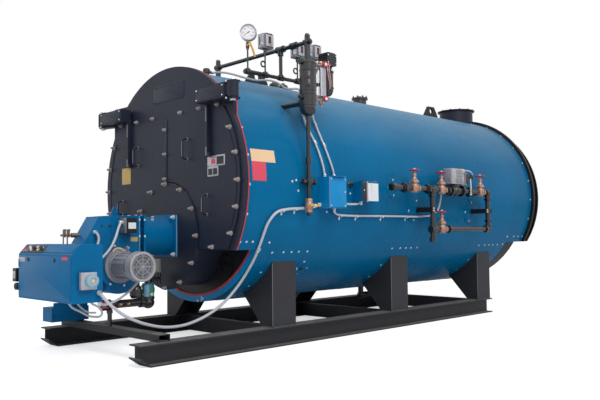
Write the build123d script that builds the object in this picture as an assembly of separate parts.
"""Horizontal fire-tube boiler on a two-rail skid, one solid file per node.

Lengths are millimetres. The drawing frame has X from the front plane of the jacket to the
rear, Y from the near side (negative) to the far side and Z up, with its origin on the drum
axis. Every node is moved to the floor frame just before export: origin on the floor, under
the drum axis, midway between the front and rear saddles.
"""
import math
import os

from build123d import *

# driving dimensions: drum
JACKET_R = 960.0        # outside of the lagging jacket
LAGGING = 51.0          # 2 inch lagging
LOWER_FRONT = 224.0     # plane of the lower front tube sheet
LOWER_REAR = 4158.0     # plane of the lower rear tube sheet
REAR_RIM = 4344.0       # rear end of the upper jacket
RIM_HEIGHT = 33.0       # rear rim over the jacket
RIM_W = 32.0
CUT_Z = -517.0          # flat underside of both smokeboxes
SHEET = 12.0            # smokebox and flue box plate
FLUE_BOX = 180.0        # flue box behind the rear rim
GAP = 0.3               # clearance left between curved faces that only touch
INNER_R = JACKET_R - LAGGING

# driving dimensions: skid
UNDER_DRUM = 178.0      # from the rails' top to the bottom of the drum
RAIL_Y = 684.0          # web of each rail from the centreline
RAIL_W = 152.0
RAIL_H = 152.0
RAIL_T = 10.0
RAIL_FRONT = -756.0
RAIL_REAR = 3740.0
RAIL_NOSE = 77.0        # length of the sloping underside at the front
SADDLES = (581.0, 2094.0, 3607.0)
SADDLE_L = 254.0
SADDLE_Y = 735.0        # outer face of each saddle column
GUSSET_TIP = 365.0
ANCHOR_X = 1200.0       # anchor holes each side of the middle saddle
ANCHOR_Y = 729.0
ANCHOR_R = 11.0
AXIS_HEIGHT = RAIL_H + UNDER_DRUM + JACKET_R
FLOOR = -AXIS_HEIGHT
RAIL_TOP = FLOOR + RAIL_H
MIDDLE = SADDLES[1]

# driving dimensions: front doors and their davits
FLANGE_LIP = 25.0       # front flange over the jacket
FLANGE_W = 105.0        # width of the flange ring
DOOR_SHY = 45.0         # door edge inside the flange edge
DOOR_TOP = 570.0
DOOR_BOTTOM = -508.0
DOOR_T = 12.0
DOOR_SEAM = 5.0
FLANGE_FRONT = -30.0
PLATE_Z = -405.0        # centre of the burner plate
THROAT_R = 412.0
PLATE_LIP = 24.0        # burner plate over its throat
THROAT_T = 14.0
PIN_X, PIN_R = -100.0, 14.0
ARM_Z0, ARM_Z1 = 598.0, 706.0
ARM_DEPTH = 100.0
RUN_CLEAR = 0.05        # radial running clearance
FLANGE_R = JACKET_R + FLANGE_LIP
DOOR_R = FLANGE_R - DOOR_SHY
PIN_Y = DOOR_R
PLATE_R = THROAT_R + PLATE_LIP

# driving dimensions: burner
BURNER_Z = -404.0
TUBE_R = 152.0
HOUSE_Y = 190.0         # half width of the burner housing
FAN_X, FAN_Z, FAN_R = -590.0, -622.0, 205.0
SCROLL_GROWTH = 24.0    # the scroll's radius grows by this from its tongue to its outlet
MOTOR_R, MOTOR_L = 92.0, 323.0
COWL_R = 108.0
CAB_X0, CAB_X1, CAB_Y, CAB_Z0, CAB_Z1 = -1082.0, -855.0, 428.0, -856.0, -526.0
CAB_TOP = -456.0
CAB_SLOPE = 62.0        # depth of the sloping switch panel
GAS_X, GAS_R = -220.0, 31.0
GAS_RISE = 213.0        # gas pipe over the rails
GAS_Z = RAIL_TOP + GAS_RISE

# driving dimensions: top and side trim
HEADER_X = 608.0
HEADER_RISE = 158.0     # cross header over the top of the jacket
CROWN_Y = 140.0
LOWER_Y = -692.0
LOWER_DROP = 80.0       # control header under the top of the jacket
COLUMN_OUT = 42.0       # water column outside the jacket
COLUMN_R = 65.0
FEED_OUT = 130.0        # feedwater line outside the jacket
FEED_R = 24.2           # 1 1/2 inch pipe
BYPASS_DROP = 371.0
FEED_X = 1560.0         # front end of the feedwater line
TEE_RUN = 590.0         # from there to the bypass tee
STACK_X, STACK_R, STACK_WALL = 4273.0, 203.0, 8.0
STACK_RISE = 156.0
WHEEL_R = 48.0
CONDUIT_R = 11.0
LEAD_R = 9.0
HEADER_Z = JACKET_R + HEADER_RISE
LOWER_Z = JACKET_R - LOWER_DROP
COLUMN_Y = -(JACKET_R + COLUMN_OUT)
COLUMN_TOP = JACKET_R + 15
FEED_Y = -(JACKET_R + FEED_OUT)
BYPASS_Z = -BYPASS_DROP
TEE_X = FEED_X + TEE_RUN
FEED_END = TEE_X + 975
STEM_RISE = 164.0       # handwheel over its valve

parts = {}


def block(x0, x1, y0, y1, z0, z1):
    return Pos((x0 + x1) / 2, (y0 + y1) / 2, (z0 + z1) / 2) * Box(
        abs(x1 - x0), abs(y1 - y0), abs(z1 - z0))


def rod_x(r, x0, x1, y, z):
    return Pos((x0 + x1) / 2, y, z) * Rot(0, 90, 0) * Cylinder(r, abs(x1 - x0))


def rod_y(r, y0, y1, x, z):
    return Pos(x, (y0 + y1) / 2, z) * Rot(90, 0, 0) * Cylinder(r, abs(y1 - y0))


def rod_z(r, z0, z1, x, y):
    return Pos(x, y, (z0 + z1) / 2) * Cylinder(r, abs(z1 - z0))


def hex_rod(kind, across, a0, a1, p, q):
    """Six-sided fitting along X, Y or Z; p and q are its other two coordinates."""
    solid = extrude(RegularPolygon(across / math.sqrt(3), 6), abs(a1 - a0) / 2, both=True)
    mid = (a0 + a1) / 2
    if kind == "x":
        return Pos(mid, p, q) * Rot(0, 90, 0) * solid
    if kind == "y":
        return Pos(p, mid, q) * Rot(90, 0, 0) * solid
    return Pos(p, q, mid) * solid


def side_plate(points, y0, y1):
    """Outline in X and Z, extruded from y0 to y1."""
    face = make_face(Polyline([(x, y1, z) for x, z in points], close=True))
    return extrude(face, amount=abs(y1 - y0), dir=(0, -1, 0))


def cross_plate(points, x0, x1):
    """Outline in Y and Z, extruded from x0 to x1."""
    face = make_face(Polyline([(x0, y, z) for y, z in points], close=True))
    return extrude(face, amount=abs(x1 - x0), dir=(1, 0, 0))


def conduit(points, r):
    """Round bar on straight runs, with arcs between them as large as the runs allow."""
    stations = [Vector(*p) for p in points]
    radii = []
    for a, b, c in zip(stations, stations[1:], stations[2:]):
        half_turn = math.radians((b - a).get_angle(c - b)) / 2
        radii.append(0.45 * min((b - a).length, (c - b).length) / math.tan(half_turn))
    path = FilletPolyline(points, radius=radii)
    return sweep(Plane(origin=path @ 0, z_dir=path % 0) * Circle(r), path=path)


def turned(profile, x, y, z):
    """Radius and height pairs, turned about the vertical through x, y."""
    outline = [(0, profile[0][1])] + list(profile) + [(0, profile[-1][1])]
    face = make_face(Polyline([(r, 0, h) for r, h in outline], close=True))
    return Pos(x, y, z) * revolve(face, Axis.Z, 360)


def sector(r_out, r_in, x0, x1, z_min):
    """Ring about the drum axis, kept above z_min."""
    ring = rod_x(r_out, x0, x1, 0, 0) - rod_x(r_in, x0 - 1, x1 + 1, 0, 0)
    return ring & block(x0, x1, -r_out - 5, r_out + 5, z_min, r_out + 5)


def drum_z(y):
    """Height of the underside of the jacket at y."""
    return -math.sqrt(JACKET_R ** 2 - y ** 2)


BOX_REAR = REAR_RIM + FLUE_BOX
DRUM = rod_x(JACKET_R + GAP, -200, BOX_REAR + 80, 0, 0)
flue_hole = rod_z(STACK_R - STACK_WALL / 2, INNER_R - 40, JACKET_R + 200, STACK_X, 0)


def seated(solid):
    return solid - DRUM


# skid
def rail(side):
    y = side * RAIL_Y
    nose = RAIL_FRONT + RAIL_NOSE
    web_front = FLOOR + 63
    top = block(RAIL_FRONT, RAIL_REAR, y - RAIL_W / 2, y + RAIL_W / 2, RAIL_TOP - RAIL_T, RAIL_TOP)
    web = side_plate([(RAIL_FRONT, RAIL_TOP - RAIL_T), (RAIL_REAR, RAIL_TOP - RAIL_T),
                      (RAIL_REAR, FLOOR + RAIL_T), (nose, FLOOR + RAIL_T),
                      (RAIL_FRONT, web_front)], y - 4, y + 4)
    foot = side_plate([(RAIL_REAR, FLOOR), (nose, FLOOR), (RAIL_FRONT - 5, web_front - 6),
                       (RAIL_FRONT, web_front + 3), (nose + 3, FLOOR + RAIL_T),
                       (RAIL_REAR, FLOOR + RAIL_T)], y - RAIL_W / 2, y + RAIL_W / 2)
    beam = top + web + foot
    for dx in (-ANCHOR_X, ANCHOR_X):
        beam -= rod_z(ANCHOR_R, FLOOR - 5, FLOOR + RAIL_T + 10, MIDDLE + dx, side * ANCHOR_Y)
    return beam


parts["skid_rails"] = Compound([rail(-1), rail(1)])

inner_web = RAIL_Y - 4
cross = []
for x in SADDLES:
    web = block(x - 4, x + 4, -inner_web, inner_web, FLOOR + RAIL_T, RAIL_TOP - RAIL_T)
    for z in (FLOOR + RAIL_T, RAIL_TOP - RAIL_T - 8):
        web += block(x - 4, x + 60, -inner_web, inner_web, z, z + 8)
    cross.append(web)
parts["skid_cross_members"] = Compound(cross)

beam_z = RAIL_TOP + 50.0
beam_end = RAIL_Y + 25
tube = block(-587, -491, -beam_end, beam_end + 36, RAIL_TOP, beam_z)
parts["burner_beam"] = tube - block(-582, -496, -beam_end - 10, beam_end + 50, RAIL_TOP + 5,
                                    beam_z - 5)


# saddles: a channel column and two transverse gussets on each side
def saddle(x):
    x0, x1 = x - SADDLE_L / 2, x + SADDLE_L / 2
    web, flange = SADDLE_Y - 8, SADDLE_Y - 63
    column_top = drum_z(SADDLE_Y)
    solids = []
    for side in (-1, 1):
        column = block(x0, x1, side * web, side * SADDLE_Y, RAIL_TOP, column_top)
        for a in (x0, x1 - 10):
            column += block(a, a + 10, side * flange, side * web, RAIL_TOP, column_top + 18)
            column += cross_plate([(side * flange, RAIL_TOP), (side * (flange - 68), RAIL_TOP),
                                   (side * GUSSET_TIP, drum_z(GUSSET_TIP) + 8),
                                   (side * GUSSET_TIP, drum_z(GUSSET_TIP) + 188),
                                   (side * flange, column_top + 18)], a, a + 10)
        column += block(x0 + 10, x1 - 10, side * (web - 37), side * web, column_top - 22, column_top)
        solids.append(seated(column))
    return Compound([s for c in solids for s in c.solids()])


for name, x in zip(("front", "middle", "rear"), SADDLES):
    parts["saddle_" + name] = saddle(x)

# drum: barrel, its tube sheets and the two jacketed smokebox hoods
parts["barrel"] = (rod_x(JACKET_R, LOWER_FRONT, LOWER_REAR, 0, 0)
                   - rod_x(INNER_R, LOWER_FRONT - 1, LOWER_REAR + 1, 0, 0)) - flue_hole
sheet_r = INNER_R - GAP
front_sheet = rod_x(sheet_r, LOWER_FRONT + 8, LOWER_FRONT + 30, 0, 0)
for side in (-1, 1):
    y, z = side * 434, -655
    cover = rod_x(85, LOWER_FRONT - 10, LOWER_FRONT + 8, y, z)
    cover -= rod_x(62, LOWER_FRONT - 12, LOWER_FRONT + 2, y, z)
    cover += rod_x(12, LOWER_FRONT - 22, LOWER_FRONT + 4, y, z)
    cover += block(LOWER_FRONT - 18, LOWER_FRONT - 8, y - 80, y + 80, z - 11, z + 11)
    front_sheet += cover
parts["front_tube_sheet"] = front_sheet
parts["rear_tube_sheet"] = rod_x(sheet_r, LOWER_REAR - 30, LOWER_REAR - 8, 0, 0) - flue_hole
throat_clear = rod_x(THROAT_R + GAP, -1000, 1000, 0, PLATE_Z)


def hood(x0, x1):
    shell = sector(JACKET_R, INNER_R, x0, x1, CUT_Z)
    half = math.sqrt(INNER_R ** 2 - CUT_Z ** 2) + SHEET
    floor = block(x0, x1, -half, half, CUT_Z, CUT_Z + SHEET)
    return shell + (floor & rod_x(INNER_R + 5, x0, x1, 0, 0))


parts["front_smokebox"] = hood(0, LOWER_FRONT) - throat_clear
parts["rear_smokebox"] = hood(LOWER_REAR, REAR_RIM) - flue_hole
RIM_R = JACKET_R + RIM_HEIGHT
parts["rear_rim"] = sector(RIM_R, JACKET_R + GAP, REAR_RIM - RIM_W, REAR_RIM, CUT_Z) - flue_hole
floor_z = CUT_Z + SHEET + GAP
flue_box = sector(INNER_R - GAP, INNER_R - SHEET, LOWER_REAR + GAP, BOX_REAR, floor_z)
flue_box += (rod_x(INNER_R - GAP, REAR_RIM, BOX_REAR, 0, 0)
             & block(REAR_RIM, BOX_REAR, -JACKET_R, JACKET_R, floor_z, floor_z + SHEET))
parts["rear_flue_box"] = flue_box - flue_hole
door_r = INNER_R + 26
rear_door = (rod_x(door_r, BOX_REAR, BOX_REAR + 14, 0, 0)
             & block(BOX_REAR, BOX_REAR + 14, -door_r, door_r, CUT_Z, door_r))
rear_door += rod_x(70, BOX_REAR + 14, BOX_REAR + 24, 0, -120)
rear_door += rod_x(34, BOX_REAR + 24, BOX_REAR + 60, 0, -120)
parts["rear_door"] = rear_door

# front flange ring with its ears and fixed top segment
ear_y = FLANGE_R - 130
ear = [(ear_y - 255, 400), (ear_y, 400), (ear_y, ARM_Z1 + 47), (ear_y - 255, ARM_Z1 + 44)]
flange = rod_x(FLANGE_R, FLANGE_FRONT, 0, 0, 0)
for side in (-1, 1):
    flange += cross_plate([(side * y, z) for y, z in ear], FLANGE_FRONT, 0)
ring_r = FLANGE_R - FLANGE_W
opening = (rod_x(ring_r, -40, 10, 0, 0)
           & block(-40, 10, -ring_r - 20, ring_r + 20, CUT_Z + 62, DOOR_TOP - 40))
flange &= block(-40, 10, -FLANGE_R - 5, FLANGE_R + 5, CUT_Z, FLANGE_R + 5)
parts["front_flange"] = flange - opening - throat_clear

# burner plate on its throat
plate_front = FLANGE_FRONT - 25
plate = rod_x(PLATE_R, plate_front, FLANGE_FRONT - GAP, 0, PLATE_Z)
throat = rod_x(THROAT_R, FLANGE_FRONT - GAP, LOWER_FRONT + 8 - GAP, 0, PLATE_Z)
throat -= rod_x(THROAT_R - THROAT_T, FLANGE_FRONT - GAP, LOWER_FRONT + 60, 0, PLATE_Z)
parts["burner_plate"] = plate + throat

# doors: leaf, handles, hanger and davit arm swing together about a pin on the flange's ear
door_back = FLANGE_FRONT - 0.5
door_face = door_back - DOOR_T
HANDLES = {"near": ((-291, 203, 362), (-546, -245, -96)), "far": ((435, 203, 360), (692, -209, -94))}
HANDLE_R = 7.0
HANDLE_OUT = 48.0


def handle(y, z0, z1):
    """Bar bent out of the door at both ends."""
    x = door_face - HANDLE_OUT
    points = [(door_face + 2, y, z0), (x, y, z0), (x, y, z1), (door_face + 2, y, z1)]
    path = FilletPolyline(points, radius=3 * HANDLE_R)
    return sweep(Plane(origin=path @ 0, z_dir=path % 0) * Circle(HANDLE_R), path=path)


def leaf(side, name):
    disc = rod_x(DOOR_R, door_face, door_back, 0, 0)
    y0, y1 = sorted((side * DOOR_SEAM / 2, side * (DOOR_R + 60)))
    half = disc & block(door_face - 5, 0, y0, y1, DOOR_BOTTOM, DOOR_TOP)
    half -= rod_x(PLATE_R + 8, -100, 10, 0, PLATE_Z)
    for y, z0, z1 in HANDLES[name]:
        half += handle(y, z0, z1)
    return half


def davit_arm(side):
    back = PIN_X + ARM_DEPTH / 2
    arm = block(back - ARM_DEPTH, back, side * (PIN_Y - 395), side * (PIN_Y - 40), ARM_Z0, ARM_Z1)
    arm += rod_z(3 * PIN_R, ARM_Z0, ARM_Z1, PIN_X, side * PIN_Y)
    arm += block(back - ARM_DEPTH + 10, back - 10, side * (PIN_Y - 60), side * PIN_Y,
                 ARM_Z0 + 15, ARM_Z1 - 15)
    return arm - rod_z(PIN_R + RUN_CLEAR, ARM_Z0 - 5, ARM_Z1 + 5, PIN_X, side * PIN_Y)


def hinge_bracket(side):
    bracket = rod_z(PIN_R, ARM_Z0 - 30, ARM_Z1 + 30, PIN_X, side * PIN_Y)
    outline = [(FLANGE_FRONT, PIN_Y - 170), (FLANGE_FRONT, PIN_Y - 85), (PIN_X + 38, PIN_Y + 35),
               (PIN_X - 12, PIN_Y + 35), (PIN_X - 28, PIN_Y + 20), (PIN_X - 28, PIN_Y - 35),
               (PIN_X + 25, PIN_Y - 150)]
    for z0, z1 in ((ARM_Z0 - 16, ARM_Z0 - 1), (ARM_Z1 + 1, ARM_Z1 + 16)):
        face = make_face(Polyline([(x, side * y, z0) for x, y in outline], close=True))
        bracket += extrude(face, amount=z1 - z0, dir=(0, 0, 1))
    return bracket


parts["hinge_brackets"] = Compound([hinge_bracket(-1), hinge_bracket(1)])
for side, name in ((-1, "near"), (1, "far")):
    parts["door_" + name] = leaf(side, name)
    y = side * (PIN_Y - (360 if side < 0 else 380))
    hanger = block(door_face - 34, door_face, y - 15, y + 15, 198, ARM_Z0)
    hanger += block(door_face - 34, door_face, y - 34, y + 34, 198, 226)
    parts["davit_" + name] = davit_arm(side) + hanger + block(
        door_face - 18, door_face, y - 15, y + 15, ARM_Z0 - 10, ARM_Z0 + 20)

# burner: mounting flange and air tube, then the housing with its inlet hood and fan scroll
tube_front = -366.0
flange = block(plate_front - 20, plate_front, -171, 171, BURNER_Z - 171, BURNER_Z + 171)
tube = rod_x(TUBE_R, tube_front, plate_front - 20, 0, BURNER_Z)
parts["burner_tube"] = flange + tube
house_top, house_low, house_rear = -250.0, -560.0, -420.0
collar_r = TUBE_R + 8
housing = block(house_rear - 235, house_rear, -HOUSE_Y, HOUSE_Y, house_low, house_top)
for x in (house_rear - 8, tube_front - 16):
    housing += block(x, x + 16, -HOUSE_Y - 8, HOUSE_Y + 8, house_low - 4, house_top + 6)
housing += rod_x(collar_r, house_rear, tube_front, 0, BURNER_Z)
hood_front = house_rear - 339
housing += side_plate([(house_rear - 10, house_top), (hood_front, house_top - 12),
                       (hood_front - 117, CAB_TOP + 1), (CAB_X1 + 1, CAB_TOP + 1),
                       (CAB_X1 + 1, house_low), (house_rear - 10, house_low)],
                      -HOUSE_Y, 0)


def scroll(steps=6):
    """Spiral fan casing: its radius grows steadily from the tongue round to the outlet."""
    centre = Vector(FAN_X, 0, FAN_Z)
    rim = []
    for k in range(steps + 1):
        turn = math.radians(-60 - 240 * k / steps)
        r = FAN_R + SCROLL_GROWTH * k / steps
        rim.append(centre + Vector(r * math.cos(turn) * -1, 0, r * math.sin(turn)))
    curve = Spline(rim)
    edges = [curve, Line(curve @ 1, curve @ 0)]
    face = make_face(Wire(edges))
    return Pos(0, 120, 0) * extrude(face, amount=120 + HOUSE_Y, dir=(0, -1, 0))


housing += scroll()
housing += rod_y(168, -HOUSE_Y - 6, -HOUSE_Y, FAN_X, FAN_Z)
lifting = side_plate([(-557, house_top - 5), (-538, -190), (-530, -177), (-512, -177),
                      (-504, -190), (-485, house_top - 5)], -9, 9)
parts["burner_housing"] = housing + (lifting - rod_y(11, -20, 20, -521, -204))

# fan motor: finned body, mounting face, and an open cowl with a spoked grille
motor_back = -HOUSE_Y - 6
motor_end = motor_back - MOTOR_L
cowl_y = motor_end + 78
motor = rod_y(128, motor_back - 20, motor_back, FAN_X, FAN_Z)
motor += rod_y(MOTOR_R, cowl_y, motor_back - 20, FAN_X, FAN_Z)
fin = Pos(FAN_X, (cowl_y + motor_back - 50) / 2, FAN_Z) * Rot(90, 0, 0)
for place in PolarLocations(MOTOR_R, 16, start_angle=11.25):
    motor += fin * place * Box(10, 4, abs(cowl_y - motor_back + 50))
cowl = rod_y(COWL_R, motor_end, cowl_y, FAN_X, FAN_Z)
cowl -= rod_y(COWL_R - 22, motor_end - 1, motor_end + 14, FAN_X, FAN_Z)
face = Pos(FAN_X, motor_end + 7, FAN_Z) * Rot(90, 0, 0)
for place in PolarLocations(47, 8):
    cowl += face * place * Box(82, 5, 14)
for r in (26, 52, 78):
    cowl += face * (Cylinder(r + 2, 14) - Cylinder(r - 2, 14))
cowl += face * Cylinder(14, 14)
motor += cowl
motor += block(FAN_X + 62, FAN_X + 135, -380, -280, FAN_Z - 45, FAN_Z + 45)
motor += rod_z(7, FAN_Z + MOTOR_R - 6, -512, FAN_X, -301)
motor += Pos(FAN_X, -301, -496) * Rot(0, 90, 0) * Torus(17, 5)
parts["burner_motor"] = motor

cab = side_plate([(CAB_X0, CAB_Z0), (CAB_X0, CAB_Z1), (CAB_X0 + CAB_SLOPE, CAB_TOP),
                  (CAB_X1, CAB_TOP), (CAB_X1, CAB_Z0)], -CAB_Y, CAB_Y)
horn = (FAN_X - 390, -703)
cab += block(horn[0] - 54, horn[0] + 54, -CAB_Y - 32, -CAB_Y, horn[1] - 56, horn[1] + 54)
cab += rod_y(43, -CAB_Y - 62, -CAB_Y - 32, horn[0] + 14, horn[1])
cab += rod_y(17, -CAB_Y - 14, -CAB_Y, CAB_X1 - 35, -791)
for z, r in ((-580, 26), (-662, 18), (-790, 14)):
    cab += block(-1030, -975, CAB_Y, CAB_Y + 60, z - r, z + r)
cab += rod_z(9, -845, -560, -1003, CAB_Y + 40)
parts["control_cabinet"] = cab
parts["damper_actuator"] = (block(-587, -500, -290, -HOUSE_Y, -382, -266)
                            + block(-580, -507, -298, -290, -375, -273))

# damper linkage: shaft through the inlet hood, two levers and their rods down to the cabinet
shaft_z = -392.0
link = rod_x(8, -985, hood_front - 75, -60, shaft_z) + rod_x(17, -905, -862, -60, shaft_z)
for x in (-960, -930):
    link += cross_plate([(-72, shaft_z - 16), (-48, shaft_z - 16), (-48, shaft_z + 14),
                         (-66, shaft_z + 46), (-78, shaft_z + 40)], x, x + 8)
    link += rod_x(5, x - 12, x + 12, -70, shaft_z + 38)
    link += rod_z(5, CAB_TOP, shaft_z + 38, x - 10, -70)
parts["damper_linkage"] = link - parts["burner_housing"]

# gas train below the burner, carried on the beam
elbow_z = GAS_Z - 6
gas_low, gas_high = GAS_Z + 41, GAS_Z + 145
gas = rod_z(30, gas_high + GAP, BURNER_Z - TUBE_R + 6, GAS_X, 0)
gas -= rod_x(TUBE_R + GAP, tube_front - 50, 0, 0, BURNER_Z)
gas += rod_z(40, elbow_z, gas_low - GAP, GAS_X, 0) + rod_z(50, GAS_Z + 19, gas_low - GAP, GAS_X, 0)
gas += Pos(GAS_X, 0, elbow_z) * Sphere(50) - block(GAS_X - 60, GAS_X + 60, -60, 60,
                                                    gas_low - GAP, gas_low + 80)
gas += rod_x(GAS_R, -560, GAS_X, 0, GAS_Z) + rod_x(42, -300, -268, 0, GAS_Z)
gas += rod_x(42, -610, -560, 0, GAS_Z) + hex_rod("x", 74, -632, -610, 0, GAS_Z)
gas += turned(((40, -100), (52, -80), (52, -30), (40, -12), (26, 0), (26, 24), (14, 30)),
              GAS_X - 108, 0, GAS_Z + 135)
gas += rod_z(17, beam_z, GAS_Z, -560, 0) + hex_rod("z", 46, GAS_Z - 65, GAS_Z - 39, -560, 0)
gas += rod_x(22, GAS_X, GAS_X + 100, 0, GAS_Z + 180)
gas += rod_z(16, GAS_Z + 135, GAS_Z + 225, GAS_X + 100, 0)
parts["gas_train"] = gas
parts["gas_valve"] = rod_z(48, gas_low, gas_high, GAS_X, 0) + rod_z(52, -850, -814, GAS_X, 0)
box_z = beam_z + 12
box = block(-800, -485, 470, 630, box_z, box_z + 112)
for x in (-570, -532):
    box += block(x, x + 22, 500, 600, beam_z, box_z)
parts["skid_box"] = box

# nozzles on top of the drum
low_z = JACKET_R - 20
hand_top = JACKET_R + 70
parts["hand_hole"] = seated(rod_z(72, low_z, hand_top, 2412, 0)
                            + rod_z(88, hand_top, hand_top + 18, 2412, 0)
                            + hex_rod("z", 36, hand_top + 18, hand_top + 38, 2412, 0))
nozzles = []
for x in (1165.0, 1285.0):
    dome = turned(((46, 0), (46, 74), (40, 86), (24, 94)), x, 0, low_z)
    nozzles.append(seated(dome))
CAP_X, CAP_R = 370.0, 33.0
cap = turned(((26, 0), (26, 66), (CAP_R, 68), (CAP_R, 92), (26, 106), (12, 110)), CAP_X, 0, low_z)
cap_lead_z = low_z + 80
nozzles.append(seated(cap + rod_x(13, CAP_X, CAP_X + 46, 0, cap_lead_z)))
parts["top_nozzles"] = Compound(nozzles)
EYE_R, EYE_Z = 32.0, JACKET_R + 100
LUG_T = 26.0
LUGS = (945.0, 3720.0)


def lifting_lug(x):
    outline = [(x - 130, low_z), (x + 130, low_z), (x + 130, JACKET_R + 50),
               (x + 60, EYE_Z + 52), (x - 60, EYE_Z + 52), (x - 130, JACKET_R + 50)]
    return seated(side_plate(outline, -LUG_T / 2, LUG_T / 2) - rod_y(EYE_R, -20, 20, x, EYE_Z))


parts["lifting_lugs"] = Compound([lifting_lug(x) for x in LUGS])
stack_top = JACKET_R + STACK_RISE
collar = rod_z(STACK_R, JACKET_R - 110, stack_top, STACK_X, 0)
collar += rod_z(STACK_R + 23, stack_top - 12, stack_top, STACK_X, 0)
collar -= rod_z(STACK_R - STACK_WALL, JACKET_R - 200, stack_top + 50, STACK_X, 0)
collar -= rod_x(JACKET_R + GAP, STACK_X - 500, REAR_RIM, 0, 0)
collar -= rod_x(RIM_R + GAP, REAR_RIM - RIM_W - GAP, REAR_RIM + GAP, 0, 0)
parts["stack_collar"] = collar - rod_x(INNER_R, STACK_X - 500, BOX_REAR + 80, 0, 0)

# cross header from the crown to the water column, and the control header hung from it
header = rod_y(17, COLUMN_Y, CROWN_Y, HEADER_X, HEADER_Z)
for y, r, half in ((LOWER_Y, 26, 34), (LOWER_Y - 158, 28, 26), (COLUMN_Y, 26, 30),
                   (CROWN_Y, 26, 30)):
    header += rod_y(r, y - half, y + half, HEADER_X, HEADER_Z)
for y in (COLUMN_Y, CROWN_Y):
    header += hex_rod("z", 40, HEADER_Z, HEADER_Z + 58, HEADER_X, y)
header += rod_z(24, JACKET_R - 30, HEADER_Z, HEADER_X, CROWN_Y)
header += rod_z(15, LOWER_Z, HEADER_Z, HEADER_X, LOWER_Y)
header += rod_z(24, HEADER_Z - 52, HEADER_Z, HEADER_X, LOWER_Y)
header += rod_z(24, COLUMN_TOP + GAP, HEADER_Z, HEADER_X, COLUMN_Y)
SIPHONS = (252.0, 436.0, 800.0, 995.0)
boss = LOWER_Z + 26
control = rod_x(15, SIPHONS[0] - 27, SIPHONS[-1] + 15, LOWER_Y, LOWER_Z)
for x in SIPHONS:
    control += rod_x(22, x - 26, x + 26, LOWER_Y, LOWER_Z) + rod_z(19, LOWER_Z, boss, x, LOWER_Y)
control += rod_x(22, HEADER_X - 26, HEADER_X + 26, LOWER_Y, LOWER_Z)
control += rod_z(22, LOWER_Z, boss, HEADER_X, LOWER_Y)
parts["control_header"] = control
parts["cross_header"] = seated(header - rod_z(30, LOWER_Z - 60, boss + GAP, HEADER_X, LOWER_Y))


# siphons carry the gauge and the pressure controls
def siphon(x, top, loop_z, r=6.5, loop_r=22.0):
    pipe = rod_z(r, boss + GAP, top, x, LOWER_Y)
    return pipe + Pos(x - loop_r, LOWER_Y, loop_z) * Rot(90, 0, 0) * Torus(loop_r, r)


gauge_z = JACKET_R + 232
gauge_base = gauge_z - 74
siphons = [siphon(SIPHONS[0], gauge_base, LOWER_Z + 105)
           + rod_z(12, gauge_base - 58, gauge_base, SIPHONS[0], LOWER_Y)
           + hex_rod("z", 28, gauge_base - 44, gauge_base - 16, SIPHONS[0], LOWER_Y)]
dial = Pos(SIPHONS[0] + 10, LOWER_Y, gauge_z) * Rot(0, 0, 45)
gauge = dial * Rot(0, 90, 0) * Cylinder(66, 40)
gauge -= dial * Pos(-20, 0, 0) * Rot(0, 90, 0) * Cylinder(58, 8)
gauge += rod_z(9, gauge_base + GAP, gauge_z - 57, SIPHONS[0] + 2, LOWER_Y)
parts["pressure_gauge"] = gauge
boxes = []
for x, rise in zip(SIPHONS[1:], (212.0, 198.0, 218.0)):
    base_z = LOWER_Z + rise
    siphons.append(siphon(x, base_z, LOWER_Z + 88) + hex_rod("z", 26, base_z - 30, base_z, x,
                                                             LOWER_Y))
    case = block(x - 46, x + 56, LOWER_Y - 42, LOWER_Y + 34, base_z + GAP, base_z + 118)
    case += block(x - 36, x + 46, LOWER_Y - 50, LOWER_Y - 42, base_z + 10, base_z + 108)
    boxes.append(case + rod_z(10, base_z + 118, base_z + 132, x + 30, LOWER_Y))
parts["siphons"] = Compound(siphons)
parts["pressure_controls"] = Compound(boxes)

# water column, gauge glass and level control at the near end of the cross header
cx, cy = HEADER_X, COLUMN_Y
column_low = COLUMN_TOP - 385
column = turned(((46, -35), (46, 0)), cx, cy, column_low) + Pos(cx, cy, column_low) * Sphere(COLUMN_R)
column += turned(((COLUMN_R, 0), (COLUMN_R, 368), (56, 380), (34, 385)), cx, cy, column_low)
column += rod_y(22, cy, cy + 600, cx, column_low + 50)
column += hex_rod("y", 56, cy + 70, cy + 100, cx, column_low + 50)
for z in (column_low + 82, COLUMN_TOP - 25):
    column += rod_x(20, cx - COLUMN_R - 16, cx, cy, z) + hex_rod("x", 30, cx - COLUMN_R - 28,
                                                                  cx - COLUMN_R - 16, cy, z)
column_solid = seated(column)
parts["water_column"] = column_solid
gx, glass_y = HEADER_X + 137, COLUMN_Y - 10
glass = rod_z(9, column_low + 82, COLUMN_TOP - 25, gx, glass_y)
for z in (column_low + 82, COLUMN_TOP - 25):
    glass += rod_x(13, cx + COLUMN_R + GAP, gx, glass_y, z) + Pos(gx, glass_y, z) * Sphere(20)
    glass += rod_y(8, cy - 62, cy, gx, z) + rod_y(24, cy - 68, cy - 58, gx, z)
parts["gauge_glass"] = glass
LEVEL_X = HEADER_X + 242
level_low = COLUMN_TOP - 245
level = block(LEVEL_X - 55, LEVEL_X + 55, cy - 40, cy + 60, COLUMN_TOP - 10, COLUMN_TOP + 87)
level += turned(((20, -12), (34, 0), (46, 30), (46, 200), (34, 226), (34, 240)), LEVEL_X, cy + 10,
                level_low)
level += rod_x(14, cx + COLUMN_R + GAP, LEVEL_X, cy + 20, level_low + 70)
parts["level_control"] = seated(level)
cross_z = 8.0
drain = rod_z(16, -262, column_low - 45, cx, cy) + rod_z(24, 150, 196, cx, cy)
drain += rod_z(24, cross_z - 26, cross_z + 26, cx, cy) + rod_x(24, cx - 26, cx + 26, cy, cross_z)
drain += rod_x(16, cx - 66, cx + 66, cy, cross_z)
drain += Pos(cx, cy, -180) * Sphere(27) + hex_rod("z", 40, -222, -204, cx, cy)
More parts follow.
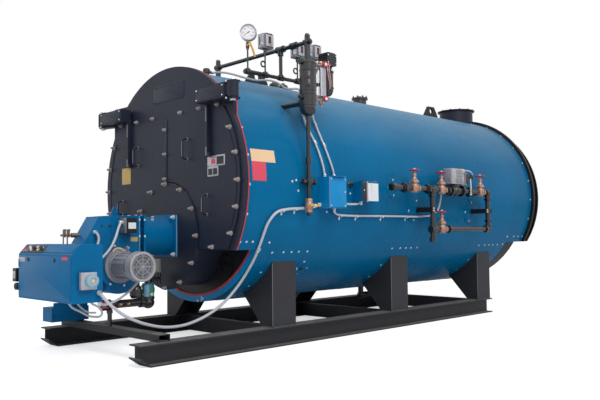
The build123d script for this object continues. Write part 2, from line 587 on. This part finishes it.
drain += hex_rod("z", 40, -156, -138, cx, cy) + rod_y(9, cy - 40, cy, cx, -180)
for x in (cx - 72, cx + 50):
    drain += hex_rod("x", 42, x, x + 22, cy, cross_z)
parts["drain_pipe"] = seated(drain - column_solid)

# boxes on the near side of the jacket
BOX_OUT = 112.0
side_y = -(JACKET_R + BOX_OUT)
shell_y = -(JACKET_R - 60)
parts["junction_box"] = seated(block(765, 970, side_y, shell_y, -197, 55)
                               + block(772, 963, side_y - 5, side_y, -190, 48))
CONTROL_X = 1180.0
parts["side_control"] = seated(block(CONTROL_X, CONTROL_X + 210, side_y + 12, shell_y, -134, 26)
                               + block(CONTROL_X + 60, CONTROL_X + 70, side_y + 6, shell_y,
                                       -142, 40))

# feedwater train: control valve between two gate valves, with a valved bypass below
VALVES = (FEED_X + 315, TEE_X + 152, TEE_X + 840)
BYPASS_VALVE = TEE_X + 146
CONTROL_A, CONTROL_B = TEE_X + 280, TEE_X + 490
feed = rod_x(FEED_R, FEED_X, CONTROL_A, FEED_Y, 0) + rod_x(FEED_R, CONTROL_B, FEED_END, FEED_Y, 0)
feed += rod_x(34, FEED_X - 20, FEED_X + 40, FEED_Y, 0)
feed += hex_rod("x", 50, FEED_X - 34, FEED_X - 20, FEED_Y, 0)
feed += rod_z(FEED_R, BYPASS_Z, 0, FEED_END, FEED_Y)
feed += rod_x(FEED_R, TEE_X, FEED_END, FEED_Y, BYPASS_Z) + rod_z(FEED_R, BYPASS_Z - 99, 0, TEE_X,
                                                                 FEED_Y)
for z in (0, BYPASS_Z):
    feed += Pos(FEED_END, FEED_Y, z) * Sphere(34)
    feed += rod_x(33, FEED_END - 44, FEED_END - 20, FEED_Y, z)
    feed += rod_x(33, TEE_X - 38, TEE_X + 38, FEED_Y, z) + rod_z(33, z - 36, z + 36, TEE_X, FEED_Y)
feed += rod_z(33, -44, -20, FEED_END, FEED_Y)
feed += rod_z(33, BYPASS_Z + 20, BYPASS_Z + 44, FEED_END, FEED_Y)
feed += rod_z(33, BYPASS_Z - 117, BYPASS_Z - 69, TEE_X, FEED_Y)
for x in (FEED_X + 160, TEE_X - 75, CONTROL_A - 30, CONTROL_B + 140):
    feed += hex_rod("x", 82, x - 10, x + 10, FEED_Y, 0)
    feed += rod_x(34, x - 30, x + 30, FEED_Y, 0)
for x, z in ((TEE_X + 350, BYPASS_Z), (FEED_END - 175, -20)):
    feed += rod_y(20, FEED_Y, shell_y, x, z)
stations = [(x, 0.0) for x in VALVES] + [(BYPASS_VALVE, BYPASS_Z)]
BODY_HALF = 55.0
STEM_R = 6.0
valves = []
for n, (x, z) in enumerate(stations, 1):
    feed -= rod_x(60, x - BODY_HALF, x + BODY_HALF, FEED_Y, z)
    body = rod_x(30, x - BODY_HALF, x + BODY_HALF, FEED_Y, z)
    for a in (x - BODY_HALF, x + BODY_HALF - 18):
        body += hex_rod("x", 66, a, a + 18, FEED_Y, z)
    body += turned(((20, -40), (34, -26), (38, 0), (34, 26), (27, 42), (27, 60), (33, 62), (33, 78),
                    (22, 84), (15, 104), (15, 112), (STEM_R, 114), (STEM_R, STEM_RISE + 20)),
                   x, FEED_Y, z)
    body += hex_rod("z", 54, z + 64, z + 76, x, FEED_Y)
    valves.append(body)
    zw = z + STEM_RISE
    wheel = Pos(x, FEED_Y, zw) * Torus(WHEEL_R - 6, 6) + rod_z(13, zw - 9, zw + 9, x, FEED_Y)
    for k in range(4):
        spoke = Pos(WHEEL_R - 23, 0, 0) * Box(WHEEL_R - 12, 9, 6)
        wheel += Pos(x, FEED_Y, zw) * Rot(0, 0, 90 * k + 45) * spoke
    parts["handwheel_%d" % n] = wheel - rod_z(STEM_R + RUN_CLEAR, zw - 20, zw + 20, x, FEED_Y)
parts["gate_valves"] = Compound(valves)
parts["feedwater_pipes"] = seated(feed)
mid = (CONTROL_A + CONTROL_B) / 2
body = rod_x(36, CONTROL_A + 10, CONTROL_B - 10, FEED_Y, 0) + Pos(mid, FEED_Y, 0) * Sphere(50)
body += rod_x(54, CONTROL_A, CONTROL_A + 18, FEED_Y, 0) + rod_x(54, CONTROL_B - 18, CONTROL_B,
                                                              FEED_Y, 0)
parts["feed_control_valve"] = body + rod_z(36, 0, 50, mid, FEED_Y) + rod_z(44, 50, 62, mid, FEED_Y)
arm_x = mid + 105
actuator = block(mid - 57, mid + 57, FEED_Y - 45, FEED_Y + 45, 62, 205)
actuator += block(mid - 49, mid + 49, FEED_Y - 51, FEED_Y - 45, 70, 197)
actuator += rod_y(10, FEED_Y - 60, FEED_Y + 40, arm_x, 170)
actuator += block(mid + 57, arm_x + 10, FEED_Y - 12, FEED_Y + 12, 160, 180)
actuator += rod_z(5, 60, 170, arm_x, FEED_Y - 50) + rod_y(9, FEED_Y - 58, FEED_Y - 42, arm_x, 60)
parts["valve_actuator"] = actuator + block(mid + 40, arm_x + 8, FEED_Y - 50, FEED_Y - 44, 54, 66)
brackets = []
ARM_Z = -166.0
for x, pipe_x in ((TEE_X - 37, TEE_X), (FEED_END - 69, FEED_END)):
    arm = block(x - 20, x + 20, FEED_Y - 34, shell_y, ARM_Z - 46, ARM_Z)
    arm += block(x - 20, pipe_x + FEED_R, FEED_Y - 34, FEED_Y - FEED_R - GAP, ARM_Z - 46, ARM_Z)
    arm -= rod_z(FEED_R + GAP, ARM_Z - 60, ARM_Z + 10, pipe_x, FEED_Y)
    brackets.append(seated(arm))
parts["pipe_brackets"] = Compound(brackets)

# flexible conduits, each held at both ends
wall = JACKET_R + 17    # centreline of a conduit that is clipped to the jacket
ROUTED_R = 960.0        # jacket that the free points of the routes were drawn for


def clipped(x, z):
    """Point of a conduit that lies along the near side of the jacket."""
    return (x, -math.sqrt(wall ** 2 - z ** 2), z)


def carried(*point):
    """Point of a route drawn for a 960 jacket, moved in or out with the jacket."""
    x, y, z = point
    k = 1 + (JACKET_R - ROUTED_R) / math.hypot(y, z)
    return (x, y * k, z * k)


def led(names, routes, r):
    """Conduits along the given routes, cut flush with the pieces that they enter."""
    solids = []
    for route in routes:
        solid = conduit(route, r)
        for name in names:
            solid -= parts[name]
        solids.append(solid)
    return solids


main = [(CAB_X1 - 35, -CAB_Y - 14, -791), (CAB_X1 - 35, -470, -800), (-850, -512, -868),
        (-752, -540, RAIL_TOP + 183), (-608, -560, RAIL_TOP + 116), (-441, -572, RAIL_TOP + 74),
        (-268, -576, RAIL_TOP + 76), (-118, -574, RAIL_TOP + 112), carried(17, -572, -972),
        carried(120, -580, -900), carried(200, -600, -815),
        clipped(234, -724), clipped(230, -590), clipped(224, -444), clipped(238, -310),
        clipped(310, -226), clipped(440, -206), clipped(580, -201), clipped(690, -192),
        carried(765, -966, -168)]
rear = [carried(925, -975, -197), carried(930, -968, -222), clipped(985, -244),
        clipped(1100, -252), clipped(1400, -252), clipped(1780, -250), clipped(2130, -252),
        clipped(2320, -240), carried(2392, -985, -190), carried(2404, -1005, -100),
        carried(2412, -1014, 0), carried(2430, -1024, 85), carried(2478, -1045, 150)]
short = [carried(970, -1000, -150), carried(1030, -986, -154), carried(1120, -984, -158),
         carried(1200, -990, -154), carried(1236, -1000, -134)]
held = ("control_cabinet", "junction_box", "side_control", "valve_actuator", "level_control",
        "burner_motor", "burner_housing", "damper_actuator", "top_nozzles")
parts["conduits"] = Compound(led(held, [main], CONDUIT_R) + led(held, [rear, short], LEAD_R))
fan_lead = [(CAB_X1 - 18, -CAB_Y + 8, CAB_Z0), (CAB_X1 + 6, -CAB_Y + 14, -878),
            (-800, -395, -880), (-700, -380, -852), (-600, -360, -800), (-520, -345, -735),
            (FAN_X + 92, -330, FAN_Z - 45)]
damper_lead = [(-587, -240, -300), (-610, -246, -304), (-632, -254, -340), (-660, -266, -410),
               (-715, -290, -490), (-790, -318, -548), (CAB_X1, -330, -590)]
hood_lead = [(-790, -HOUSE_Y, -372), (-786, -206, -374), (-776, -216, -392), (-770, -219, -425),
             (-790, -224, -480), (-830, -230, -520), (CAB_X1, -232, -548)]
crown_lead = [(CAP_X + 46, 0, cap_lead_z)]
crown_lead += [carried(x, y, z) for x, y, z in (
    (440, -18, 1019), (452, -80, 1012), (446, -160, 996), (462, -240, 972), (519, -320, 938),
    (600, -370, 916), (677, -385, 926), (752, -405, 934), (815, -440, 912), (868, -474, 862),
    (938, -478, 872), (985, -510, 876), (975, -572, 822), (915, -640, 748))]
crown_lead += [clipped(834, 668), clipped(762, 580), clipped(740, 484), clipped(760, 386),
               clipped(782, 292), clipped(802, 190), carried(812, -974, 110),
               carried(813, -980, 55)]
level_lead = [(LEVEL_X, cy + 60, COLUMN_TOP + 45), (LEVEL_X, cy + 105, COLUMN_TOP + 40),
              carried(LEVEL_X + 8, -860, 955), carried(LEVEL_X + 20, -815, 880),
              carried(LEVEL_X + 26, -790, 780), carried(LEVEL_X + 26, -780, 680),
              clipped(868, 560), clipped(858, 470), clipped(862, 376), clipped(882, 276),
              clipped(905, 180), carried(920, -976, 110), carried(922, -982, 55)]
parts["small_conduits"] = Compound(led(held, (fan_lead, damper_lead, hood_lead, crown_lead,
                                              level_lead), LEAD_R))

# blowdown piping under the drum
low = 300.0
blow_z = FLOOR + 205
blow_top = -JACKET_R + 60
blow = rod_x(30, 2700, 3290, low, blow_z)
for x in (2730, 3200):
    blow += rod_z(30, blow_z, blow_top, x, low)
blow += Pos(2730, low, blow_z) * Sphere(38) + rod_x(44, 3290, 3330, low, blow_z)
blow += rod_z(62, blow_z - 20, blow_z + 20, 2960, low) + rod_x(40, 2900, 3020, low, blow_z)
blow += rod_z(12, blow_z + 20, blow_z + 70, 2960, low)
parts["blowdown_piping"] = seated(blow)

EXPORT = Pos(-MIDDLE, 0, AXIS_HEIGHT)

if __name__ == "__main__":
    os.makedirs("parts", exist_ok=True)
    for node, shape in parts.items():
        export_step(EXPORT * shape, "parts/" + node + ".step")
    print(len(parts), "nodes")
